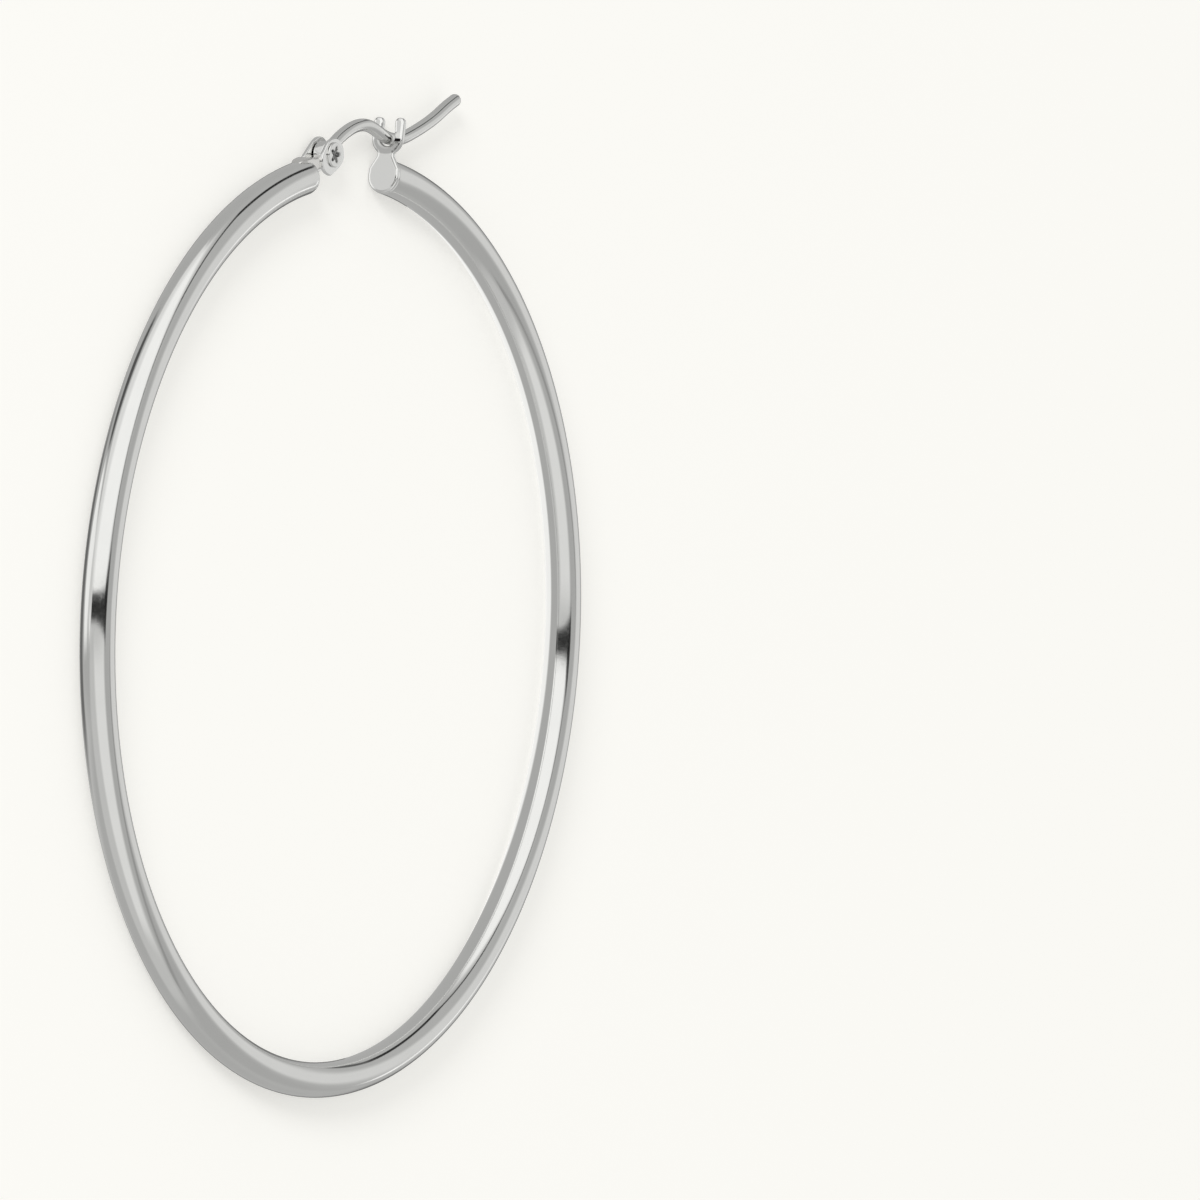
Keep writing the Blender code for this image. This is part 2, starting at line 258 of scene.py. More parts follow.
@dataclass
class Surface:
    """A grid of points that becomes a mesh: rows run along it and columns run round it."""

    name: str
    points: Array
    wrap_rows: bool = False
    first_pole: bool = False
    last_pole: bool = False

    def faces(self) -> tuple[list[list[int]], list[list[Pair]]]:
        """The quads of the grid, with a fan or a flat face at each open end.

        Returns:
            The corners of each face, and the place of each corner in the unit square.
        """
        rows, columns = self.points.shape[:2]
        i = np.arange(rows if self.wrap_rows else rows - 1)[:, None]
        j = np.arange(columns)[None, :]
        i, j = (k.ravel() for k in np.broadcast_arrays(i, j))
        corner = [(i, j), (i, j + 1), (i + 1, j + 1), (i + 1, j)]
        quads = np.stack([(a % rows) * columns + b % columns for a, b in corner], axis=1)
        places = np.stack([np.stack([a / rows, b / columns], axis=1) for a, b in corner], axis=1)
        corners, uv = quads.tolist(), places.tolist()
        if self.wrap_rows:
            return corners, uv
        around = np.arange(columns)
        for start, pole in ((0, self.first_pole), ((rows - 1) * columns, self.last_pole)):
            ring = (start + around).tolist()
            spread = np.stack([0.5 + 0.5 * np.cos(circle_angles(columns)), around / columns], axis=1)
            if pole:
                middle = len(self.points.reshape(-1, 3)) + (1 if start and self.first_pole else 0)
                corners += [[ring[k], ring[(k + 1) % columns], middle] for k in range(columns)]
                uv += [[(0.0, k / columns), (0.0, (k + 1) / columns), (0.0, 0.5)] for k in range(columns)]
            else:
                corners.append(ring)
                uv.append(spread.tolist())
        return corners, uv

    def mesh_object(self) -> Piece:
        """Makes the mesh object, with outward faces, smooth shading and a UV map.

        Returns:
            The new object, linked to the scene.
        """
        vertices = self.points.reshape(-1, 3)
        poles = [self.points[0].mean(axis=0)] if self.first_pole else []
        poles += [self.points[-1].mean(axis=0)] if self.last_pole else []
        if poles:
            vertices = np.concatenate([vertices, np.array(poles)])
        corners, places = self.faces()
        mesh = bpy.data.meshes.new(self.name)
        mesh.from_pydata(vertices.tolist(), [], corners)
        layer = mesh.uv_layers.new(name="surface")
        flat = np.array([place for face in places for place in face], dtype=np.float32)
        layer.data.foreach_set("uv", flat.ravel())
        finish_faces(mesh)
        return linked(self.name, mesh)


def finish_faces(mesh: bpy.types.Mesh) -> None:
    """Turns a closed mesh's faces outwards and smooths them, all but its flat many-sided faces.

    Sharp edges round a many-sided face keep the shading of its neighbours out of it.

    Args:
        mesh: the mesh whose faces are finished.
    """
    mesh.shade_smooth()
    work = bmesh.new()
    work.from_mesh(mesh)
    bmesh.ops.recalc_face_normals(work, faces=work.faces)
    for face in work.faces:
        if len(face.verts) > QUAD_CORNERS:
            face.smooth = False
            for edge in face.edges:
                edge.smooth = False
    work.to_mesh(mesh)
    work.free()


def linked(name: str, data: bpy.types.ID) -> Piece:
    """Makes an object and links it to the scene's own collection.

    Args:
        name: the object's name.
        data: its mesh, light or camera.

    Returns:
        The new object.
    """
    obj = bpy.data.objects.new(name, data)
    bpy.context.scene.collection.objects.link(obj)
    return obj


def swept_rings(path: Array, radii: Array, sides: int) -> Array:
    """Circles carried along a level path.

    A point is the path's point, plus the radius times the cosine of its angle along the path's
    level normal, plus the radius times the sine upwards.

    Args:
        path: points of the path, one a row.
        radii: radius at each point.
        sides: points round each circle.

    Returns:
        The circles, one a row, each with its points in order.
    """
    ahead = np.gradient(path, axis=0)
    ahead /= np.linalg.norm(ahead, axis=1, keepdims=True)
    normal = np.stack([-ahead[:, 1], ahead[:, 0], np.zeros(len(path))], axis=1)
    angles = circle_angles(sides)
    level = np.cos(angles)[None, :, None] * normal[:, None, :]
    rise = np.sin(angles)[None, :, None] * np.array([0.0, 0.0, 1.0])
    return path[:, None, :] + radii[:, None, None] * (level + rise)


def rounded_edge(half: float, rounding: float, bevel: float = 0.0, steps: int = 5) -> Array:
    """Edge profile of a plate: how far in from its outline and how high, from its front to its back.

    Two arcs of the rounding's radius join the straight edge to the bevels, which rise to the flat
    faces at a small angle. A row on either side of each corner keeps the flats flat.

    Args:
        half: half the plate's thickness.
        rounding: radius of the edge.
        bevel: width of the bevels.
        steps: stretches in each arc.

    Returns:
        Rows of inset and height.
    """
    lean = math.radians(BEVEL_ANGLE) if bevel else 0.0
    turn = np.linspace(math.pi / 2 - lean, 0.0, steps + 1)
    middle = half - bevel * math.tan(lean) - rounding * math.cos(lean)
    front = np.stack([rounding * (1 - np.cos(turn)), middle + rounding * np.sin(turn)], axis=1)
    if bevel:
        slope = np.array([1.0, math.tan(lean)])
        insets = np.array([[bevel], [bevel - EDGE_HOLD], [EDGE_HOLD]])
        front = np.concatenate([front[:1] + insets * slope, front])
    front = np.concatenate([[[front[0, 0] + EDGE_HOLD, half]], front])
    return np.concatenate([front, front[::-1] * [1.0, -1.0]])


def plate_rings(outline: Array, profile: Array) -> Array:
    """An edge profile carried round an outline, each point moved in along the outline's normal.

    Args:
        outline: closed outline in its plane, one point a row.
        profile: rows of inset and height.

    Returns:
        One closed ring a row of the profile, with the outline's two values and the height.
    """
    inset = profile[:, None, 0:1] * inward_normals(outline)[None]
    height = np.broadcast_to(profile[:, None, 1:2], (len(profile), len(outline), 1))
    return np.concatenate([outline[None] + inset, height], axis=2)


class NodeSheet:
    """A node tree that is filled from left to right."""

    def __init__(self, tree: bpy.types.NodeTree) -> None:
        """Empties the tree."""
        self.tree = tree
        tree.nodes.clear()

    def add(self, kind: str, *inputs: object, **settings: object) -> bpy.types.Node:
        """Adds a node.

        Args:
            kind: the node's type, without the words that all types start with.
            inputs: a value or an output socket for each input in order; None leaves one as it is.
            settings: properties of the node.

        Returns:
            The new node.
        """
        node = self.tree.nodes.new("ShaderNode" + kind)
        for key, value in settings.items():
            setattr(node, key, value)
        for socket, value in zip(node.inputs, inputs):
            self.put(socket, value)
        return node

    def put(self, socket: Socket, value: object) -> None:
        """Links an output socket to an input, or sets the input's own value."""
        if isinstance(value, Socket):
            self.tree.links.new(value, socket)
        elif value is not None:
            socket.default_value = value

    def math(self, operation: str, *inputs: object) -> Socket:
        """The result of one arithmetic step on numbers."""
        return self.add("Math", *inputs, operation=operation).outputs[0]

    def dot(self, vector: Socket, other: Array) -> Socket:
        """The scalar product of a vector with a fixed one."""
        node = self.add("VectorMath", vector, tuple(other), operation="DOT_PRODUCT")
        return node.outputs["Value"]

    def ramp(self, value: object, low: float, high: float, start: float, end: float) -> Socket:
        """A smooth step of a value from one range to another."""
        node = self.add("MapRange", value, low, high, start, end, interpolation_type="SMOOTHSTEP")
        return node.outputs[0]

    def mixed(self, kind: str, share: object, first: object, second: object) -> Socket:
        """Mixes two numbers or two colours.

        Args:
            kind: the node's word for numbers or for colours.
            share: how much of the second is in the mix.
            first: the first number or colour.
            second: the second number or colour.

        Returns:
            The mix.
        """
        node = self.add("Mix", share, data_type=kind)
        self.put(node.inputs["A"], first)
        self.put(node.inputs["B"], second)
        return node.outputs["Result"]

    def noise(self, place: Socket, scale: float, detail: float) -> Socket:
        """A noise over a place, whose values lie around a half."""
        return self.add("TexNoise", place, None, scale, detail).outputs["Fac"]

    def bump(self, height: Socket, depth: float, normal: object = None) -> Socket:
        """A normal that is tilted by the slope of a height, on top of another normal if one is given."""
        return self.add("Bump", 1.0, depth, None, height, normal).outputs[0]


@dataclass(frozen=True)
class PaintedShade:
    """Painted shade on a finish: a darker round or boxy block, with its middle and half sizes at a tube
    end.
    """

    side: Side
    middle: Triple
    half_sizes: Triple
    power: float
    level: float
    softness: float = 0.15

    def mask(self, sheet: NodeSheet, place: Socket) -> Socket:
        """How deep a place lies in the block.

        The distances along the block's three axes are divided by its half sizes, raised to the
        power and added; the mask is a smooth step of this sum around one.

        Args:
            sheet: the tree that the nodes go into.
            place: the place in the object's coordinates.

        Returns:
            A number from 0 to 1.
        """
        middle = at_end(self.side, np.array(self.middle) * MM)
        total: object = 0.0
        for axis, half in zip(end_axes(self.side), self.half_sizes):
            size = half * MM
            off = sheet.math("SUBTRACT", sheet.dot(place, axis / size), float(axis @ middle) / size)
            part = sheet.math("POWER", sheet.math("ABSOLUTE", off), self.power)
            total = sheet.math("ADD", part, total)
        return sheet.ramp(total, 1.0 - self.softness, 1.0 + self.softness, 1.0, 0.0)


@dataclass(frozen=True)
class PolishedSilver:
    """A white metal finish: a mirror polish with faint haze, fine polishing lines and soft waves, and
    blocks of painted shade.
    """

    name: str
    colour: Triple
    roughness: float
    haze: float = 0.06
    line_depth: float = 0.4 * MICRON
    line_stretch: Triple = (40.0, 40.0, 1.0)
    line_detail: float = 4.0
    line_range: Pair = (0.50, 0.72)
    line_share: float = 0.6
    wave_depth: float = 3.0 * MICRON
    wave_scale: float = 140.0
    wave_detail: float = 1.0
    cloud_scale: float = 420.0
    cloud_detail: float = 5.0
    cloud_range: Pair = (0.35, 0.75)
    cloud_level: float = 0.95
    painted_shades: tuple[PaintedShade, ...] = ()

    def shade(self, level: float) -> tuple[float, ...]:
        """The finish's colour times a level, with full opacity."""
        return (*(level * part for part in self.colour), 1.0)

    def material(self) -> bpy.types.Material:
        """Builds the finish.

        The haze and waves follow the object's own place, and the polishing lines follow the UV map.

        Returns:
            The new material.
        """
        made = bpy.data.materials.new(self.name)
        made.use_nodes = True
        sheet = NodeSheet(made.node_tree)
        place = sheet.add("TexCoord").outputs
        stretch = sheet.add("Mapping", place["UV"])
        stretch.inputs["Scale"].default_value = self.line_stretch
        cloud = sheet.noise(place["Object"], self.cloud_scale, self.cloud_detail)
        lines = sheet.noise(stretch.outputs[0], 1.0, self.line_detail)
        wave = sheet.noise(place["Object"], self.wave_scale, self.wave_detail)
        cloudy = sheet.ramp(cloud, *self.cloud_range, 0.0, self.haze)
        scratched = sheet.ramp(lines, *self.line_range, 0.0, self.haze * self.line_share)
        colour = sheet.mixed("RGBA", cloud, self.shade(1.0), self.shade(self.cloud_level))
        # Each block of painted shade darkens the colour towards its level.
        for painted_shade in self.painted_shades:
            share = painted_shade.mask(sheet, place["Object"])
            colour = sheet.mixed("RGBA", share, colour, self.shade(painted_shade.level))
        rough = sheet.math("ADD", sheet.math("ADD", cloudy, scratched), self.roughness)
        normal = sheet.bump(wave, self.wave_depth, sheet.bump(lines, self.line_depth))
        shader = sheet.add("BsdfPrincipled")
        shader.inputs["Metallic"].default_value = 1.0
        sheet.put(shader.inputs["Base Color"], colour)
        sheet.put(shader.inputs["Roughness"], rough)
        sheet.put(shader.inputs["Normal"], normal)
        sheet.add("OutputMaterial", shader.outputs[0])
        made.diffuse_color = self.shade(1.0)
        return made


TUBE_FINISH = PolishedSilver(
    "polished_tube", (0.83, 0.83, 0.82), 0.07,
    haze=0.05, wave_depth=2.0 * MICRON,
    line_stretch=(900.0, 26.0, 1.0),
)
WIRE_FINISH = PolishedSilver(
    "polished_ear_wire", (0.82, 0.82, 0.81), 0.09,
    wave_depth=2.0 * MICRON,
    line_stretch=(12.0, 60.0, 1.0),
)
EAR_FINISH = PolishedSilver("polished_ear", (0.90, 0.90, 0.89), 0.09, wave_scale=400.0)
FORK_FINISH = PolishedSilver(
    "polished_fork", (0.88, 0.88, 0.87), 0.08,
    # Painted shade and dark reflection: the notch bottom darker, and a near-black patch on the front prong
    # beside the wire.
    painted_shades=(
        PaintedShade(Side.CATCH, middle=(0.0, 2.02, 0.0), half_sizes=(0.30, 0.60, 1.06), power=2.0, level=0.64),
        PaintedShade(Side.CATCH, middle=(0.0, 2.33, 0.74), half_sizes=(0.12, 0.10, 0.28), power=8.0, level=0.03),
    ),
)
# Painted shade in the star punch marks on both rivet heads, darker where the mark is deep.
PUNCH_PAINTED_SHADES = tuple(
    PaintedShade(Side.HINGE, middle=(2.40, 1.00, height), half_sizes=(0.70, 0.70, 0.21), power=4.0, level=0.26)
    for height in (0.60, -0.60)
)
RIVET_FINISH = PolishedSilver(
    "punched_rivet", (0.86, 0.86, 0.85), 0.10,
    haze=0.08, line_depth=0.6 * MICRON,
    line_stretch=(30.0, 30.0, 1.0), wave_scale=400.0,
    painted_shades=PUNCH_PAINTED_SHADES,
)
SOLDER_FINISH = PolishedSilver(
    "solder", (0.84, 0.83, 0.81), 0.14,
    haze=0.10, line_depth=0.6 * MICRON,
    line_stretch=(30.0, 30.0, 1.0),
    wave_depth=25.0 * MICRON, wave_scale=1300.0,
)


def fitted(surface: Surface, body: Body, material: bpy.types.Material, node: str) -> None:
    """Makes a piece, dresses it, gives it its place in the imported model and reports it.

    Args:
        surface: the piece's surface.
        body: the body that it moves with.
        material: its finish.
        node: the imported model's node that it stands for.
    """
    piece = surface.mesh_object()
    piece.data.materials.append(material)
    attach(piece, body.value)
    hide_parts(node)
    LOG.info("%s: %d faces on %s", piece.name, len(piece.data.polygons), body.value)


@dataclass
class HoopTube:
    """The hollow round tube, bent to a ring that is open at the clasp."""

    wall: float = 0.25 * MM
    cap_thickness: float = 0.35 * MM
    cap_inset: float = 0.05 * MM
    cap_rounding: float = 0.13 * MM
    solder_overlap: float = 0.10 * MM
    end_rounding: float = 0.08 * MM
    vent_radius: float = 0.25 * MM
    vent_drop: float = 0.55 * MM
    steps: int = 480
    bore_steps: int = 96
    sides: int = 72
    cap_sides: int = 64
    rim_shares: tuple[float, ...] = (0.0, 0.3, 0.7, 1.0)

    def centre_line(self, places: Array) -> Array:
        """Centre line of the tube, from the hinge to the catch.

        A point is the hoop's centre, plus its radius times the cosine and sine of an angle that
        grows by the place's length over the radius.

        Args:
            places: lengths along the tube, counted from its end in the hinge cap.

        Returns:
            The points, one a row.
        """
        trim = self.cap_thickness - self.solder_overlap
        angle = np.pi / 2 + GAP_ANGLE + (trim + places) / HOOP_RADIUS
        return HOOP_CENTRE + HOOP_RADIUS * np.stack([np.cos(angle), np.sin(angle), 0 * angle], axis=1)

    def tube(self) -> Surface:
        """The tube as one closed wall: its outside, its rounded ends and its bore.

        Returns:
            The tube's surface, whose rows run out along the outside and back along the bore.
        """
        rim = self.end_rounding
        lead = np.array(self.rim_shares) * rim
        drop = rim - np.sqrt(np.maximum(rim**2 - (rim - lead) ** 2, 0.0))
        trim = self.cap_thickness - self.solder_overlap
        whole = HOOP_RADIUS * (2 * np.pi - 2 * GAP_ANGLE) - 2 * trim
        inner = np.linspace(rim, whole - rim, self.steps + 1)[1:-1]
        places = np.concatenate([lead, inner, whole - lead[::-1]])
        outer = TUBE_RADIUS - np.concatenate([drop, np.zeros(len(inner)), drop[::-1]])
        outside = swept_rings(self.centre_line(places), outer, self.sides)
        bore = self.centre_line(np.linspace(0.0, whole, self.bore_steps + 1))
        inside = swept_rings(bore, np.full(len(bore), TUBE_RADIUS - self.wall), self.sides)[::-1]
        return Surface("hoop_tube", np.concatenate([outside, inside]), wrap_rows=True)

    def hinge_cap(self) -> Surface:
        """The cap of the hinge end: a disc with a rounded rim and a small round vent.

        The rows run from the vent's edge over the front to the rim, round it, over the back and
        through the vent; each row is a circle, blended between the vent and the rim.

        Returns:
            The cap's surface.
        """
        half = self.cap_thickness / 2
        rim = rounded_edge(half, self.cap_rounding)
        radius = TUBE_RADIUS - self.cap_inset
        deep = radius - self.vent_radius
        front = np.array([[deep, half], [deep - EDGE_HOLD, half]])
        rows = np.concatenate([front, rim, front[::-1] * [1.0, -1.0]])
        share = np.clip(rows[:, 0:1] / deep, 0.0, 1.0)
        angles = circle_angles(self.cap_sides)
        size = radius - rows[:, 0:1]
        across = size * np.cos(angles)
        rise = size * np.sin(angles) - self.vent_drop * share
        depth = np.broadcast_to(rows[:, 1:2] - half, across.shape)
        local = np.stack([depth, rise, across], axis=2)
        return Surface("hinge_cap", at_end(Side.HINGE, local), wrap_rows=True)

    def dress(self) -> None:
        """Builds the tube and its cap and gives them their finish."""
        finish = TUBE_FINISH.material()
        fitted(self.tube(), Body.HOOP, finish, "hoop")
        fitted(self.hinge_cap(), Body.HOOP, finish, "hoop")


@dataclass
class CatchPlate:
    """The stamped catch: the catch end's cap, a short neck and the notched fork in one plate."""

    thickness: float = 0.35 * MM
    fork_extra: float = 0.10 * MM
    edge_rounding: float = 0.10 * MM
    bevel: float = 0.10 * MM
    corner_softness: float = 0.03 * MM
    neck_half_width: float = 0.59 * MM
    neck_rise: float = 1.28 * MM
    shoulder: Pair = (1.06 * MM, 0.50 * MM)
    shoulder_angle: float = 10.0
    fork_half_width: float = 1.12 * MM
    notch_radius: float = 0.54 * MM
    mouth_half_width: float = 0.43 * MM
    prong_tip_rise: float = 0.98 * MM
    notch_side_angle: float = 8.0
    tip_end_angle: float = 200.0
    cap_inset: float = 0.03 * MM
    cap_steps: int = 72
    points: int = 480

    def outline(self) -> Array:
        """The plate's outline: fork, notch, neck and cap disc as joined arcs.

        Returns:
            Rows of the distance across the plate and outwards from the tube's line.
        """
        cap_radius = TUBE_RADIUS - self.cap_inset
        root_angle = math.degrees(math.acos(self.neck_half_width / self.fork_half_width))
        tip_radius = (self.fork_half_width - self.mouth_half_width) / 2
        tip = (self.mouth_half_width + tip_radius, CATCH_RISE + self.prong_tip_rise)
        centre = (0.0, CATCH_RISE)
        side = [self.shoulder, (self.neck_half_width, self.neck_rise)]
        right = np.concatenate(
            [
                side,
                arc(centre, self.fork_half_width, -root_angle, 0.0),
                arc(tip, tip_radius, 0.0, self.tip_end_angle),
                arc(centre, self.notch_radius, self.notch_side_angle, -90.0),
            ]
        )
        left = right[:-1][::-1] * [-1.0, 1.0]
        ends = (180.0 - self.shoulder_angle, 360.0 + self.shoulder_angle)
        disc = arc((0.0, 0.0), cap_radius, *ends, self.cap_steps)
        return evened_outline(np.concatenate([right, left, disc]), self.points, self.corner_softness)

    def plate(self) -> Surface:
        """The plate: its rounded edge carried round the outline, with a flat face on either side.

        Beyond the tube the back face falls away evenly, so that the fork is a little thicker.

        Returns:
            The plate's surface.
        """
        edge = rounded_edge(self.thickness / 2, self.edge_rounding, self.bevel)
        rings = plate_rings(self.outline(), edge)
        grown = np.clip((rings[..., 1] - TUBE_RADIUS) / (CATCH_RISE - TUBE_RADIUS), 0.0, 1.0)
        depth = (self.thickness / 2 - rings[..., 2]) * (1.0 + self.fork_extra / self.thickness * grown)
        local = np.stack([depth, rings[..., 1], rings[..., 0]], axis=2)
        return Surface("catch_plate", at_end(Side.CATCH, local))

    def dress(self) -> None:
        """Builds the plate and gives it its finish."""
        fitted(self.plate(), Body.HOOP, FORK_FINISH.material(), "hoop")


@dataclass
class HingeBracket:
    """The hinge bracket: two ears on either side of the ear wire's eye, and the web that joins them."""

    ear_thickness: float = 0.26 * MM
    ear_inner: float = 0.435 * MM
    edge_rounding: float = 0.06 * MM
    hole_radius: float = 0.34 * MM
    corner_softness: float = 0.03 * MM
    corner_steps: int = 8
    points: int = 180
    web_power: float = 0.42
    web_steps: int = 6
    web_sides: int = 56
    front_outline: tuple[Pair, ...] = (
        (-1.40, -0.12), (-1.28, 0.20), (-0.90, 0.56), (-0.42, 0.94), (0.05, 1.03), (0.55, 0.95),
        (0.98, 0.68), (1.24, 0.24), (1.26, -0.34), (1.02, -0.68), (0.60, -0.93), (0.08, -1.10),
        (-0.46, -1.25), (-0.80, -1.13), (-1.12, -0.92), (-1.34, -0.64), (-1.42, -0.36),
    )
    back_outline: tuple[Pair, ...] = (
        (-1.72, -0.22), (-1.76, 0.10), (-1.34, 0.40), (-0.86, 0.68), (-0.35, 0.96), (0.12, 1.08),
        (0.60, 1.02), (0.98, 0.78), (1.24, 0.38), (1.28, -0.25), (1.04, -0.69), (0.63, -0.98),
        (-0.22, -1.16), (-0.62, -1.13), (-1.18, -0.76), (-1.40, -0.50),
    )
    web_sections: tuple[tuple[float, ...], ...] = (
        (-1.30, 0.80, 1.02, 0.20), (-1.05, 0.78, 1.16, 0.38), (-0.60, 0.70, 1.24, 0.54),
        (-0.10, 0.50, 1.26, 0.60), (0.30, 0.30, 1.18, 0.58), (0.90, 0.30, 1.14, 0.565),
        (1.40, 0.30, 1.14, 0.565), (1.50, 0.36, 1.08, 0.50),
    )

    def ear(self, name: str, side: int) -> Surface:
        """One ear: a plate with a rounded edge and the rivet's hole.

        Args:
            name: the piece's name.
            side: 1 for the front ear and -1 for the back one.

        Returns:
            The ear's surface, whose rows run over the front, round the edge, over the back and
            through the hole.
        """
        corners = self.front_outline if side > 0 else self.back_outline
        outline = smooth_curve(np.array(corners) * MM, self.corner_steps, closed=True)
        outline = evened_outline(outline, self.points, self.corner_softness)
        half = self.ear_thickness / 2
        rings = plate_rings(outline, rounded_edge(half, self.edge_rounding))
        direction = outline / np.linalg.norm(outline, axis=1, keepdims=True)
        hole = direction * self.hole_radius
        front = np.stack([hole, hole + direction * EDGE_HOLD])
        front = np.concatenate([front, np.full((2, len(hole), 1), half)], axis=2)
        rows = np.concatenate([front, rings, front[::-1] * [1.0, 1.0, -1.0]])
        middle = side * (self.ear_inner + half)
        local = rows + np.array([PIVOT_REACH, PIVOT_RISE, middle])
        return Surface(name, at_end(Side.HINGE, local), wrap_rows=True)

    def web(self) -> Surface:
        """The web and its solder: rounded oblong sections set along the tube's line.

        A section is a superellipse: the cosine and sine, each raised to a small power with its sign
        kept, times the half width and half height.

        Returns:
            The web's surface.
        """
        sections = smooth_curve(np.array(self.web_sections) * MM, self.web_steps)
        angles = circle_angles(self.web_sides)
        wide = np.sign(np.cos(angles)) * np.abs(np.cos(angles)) ** self.web_power
        high = np.sign(np.sin(angles)) * np.abs(np.sin(angles)) ** self.web_power
        x, low, top, half = (sections[:, k, None] for k in range(4))
        rise = (low + top) / 2 + (top - low) / 2 * high[None]
        local = np.stack([np.broadcast_to(x, rise.shape), rise, half * wide[None]], axis=2)
        return Surface("hinge_web", at_end(Side.HINGE, local), first_pole=True, last_pole=True)

    def dress(self) -> None:
        """Builds the ears and the web and gives them their finishes."""
        finish = EAR_FINISH.material()
        for name, side in (("hinge_ear_front", 1), ("hinge_ear_back", -1)):
            fitted(self.ear(name, side), Body.HOOP, finish, "hoop")
        fitted(self.web(), Body.HOOP, SOLDER_FINISH.material(), "hoop")


@dataclass
class HingeRivet:
    """The hinge's rivet: a shaft whose ends are spread over the ears by a pointed star punch."""

    shaft_radius: float = 0.31 * MM
    head_radius: float = 0.80 * MM
    head_bottom: float = 0.69 * MM
    head_top: float = 0.835 * MM
    punch_radius: float = 0.62 * MM
    punch_depth: float = 0.34 * MM
    punch_points: int = 5
    punch_turn: float = 0.5
    punch_swing: float = 0.26
    punch_rings: int = 26
    middle_radius: float = 0.24 * MM
    middle_rise: float = 0.27 * MM
    rim_rings: int = 9
    sides: int = 80

    def surface(self) -> Surface:
        """The rivet: rows run from the middle of one head over its rim, down the shaft and up the other.

        The punch mark is a cone whose radius swells and shrinks with the cosine of the angle times
        the number of points; a smaller cone rises from its bottom.

        Returns:
            The rivet's surface.
        """
        spread = np.linspace(0.02, 1.0, self.punch_rings) * self.punch_radius
        spread = np.append(spread, self.punch_radius + 2 * EDGE_HOLD)
        inner = np.stack([spread, np.full(len(spread), self.head_top)], axis=1)
        edge = (self.head_top - self.head_bottom) / 2
        turn = np.radians(np.linspace(90.0, -90.0, self.rim_rings))
        rim = edge * np.stack([np.cos(turn), np.sin(turn)], axis=1)
        rim += np.array([self.head_radius - edge, self.head_bottom + edge])
        shaft = np.array([[self.shaft_radius, self.head_bottom], [self.shaft_radius, 0.0]])
        upper = np.concatenate([inner, rim, shaft])
        profile = np.concatenate([upper, upper[:-1][::-1] * [1.0, -1.0]])
        angles = circle_angles(self.sides)
        radius, height = profile[:, 0:1], profile[:, 1:2]
        wave = np.cos(self.punch_points * angles + self.punch_turn)
        swell = 1.0 - self.punch_swing + self.punch_swing * wave
        depth = self.punch_depth * np.clip(1.0 - radius / (self.punch_radius * swell), 0.0, 1.0)
        depth -= self.middle_rise * np.clip(1.0 - radius / self.middle_radius, 0.0, 1.0)
        on_top = np.isclose(np.abs(height), self.head_top, rtol=0.0, atol=LEAST)
        rings = turned(radius, angles, height - np.sign(height) * depth * on_top)
        return Surface("hinge_rivet_pin", rings, first_pole=True, last_pole=True)

    def dress(self) -> None:
        """Builds the rivet and gives it its finish."""
        fitted(self.surface(), Body.HOOP, RIVET_FINISH.material(), "hinge_rivet")


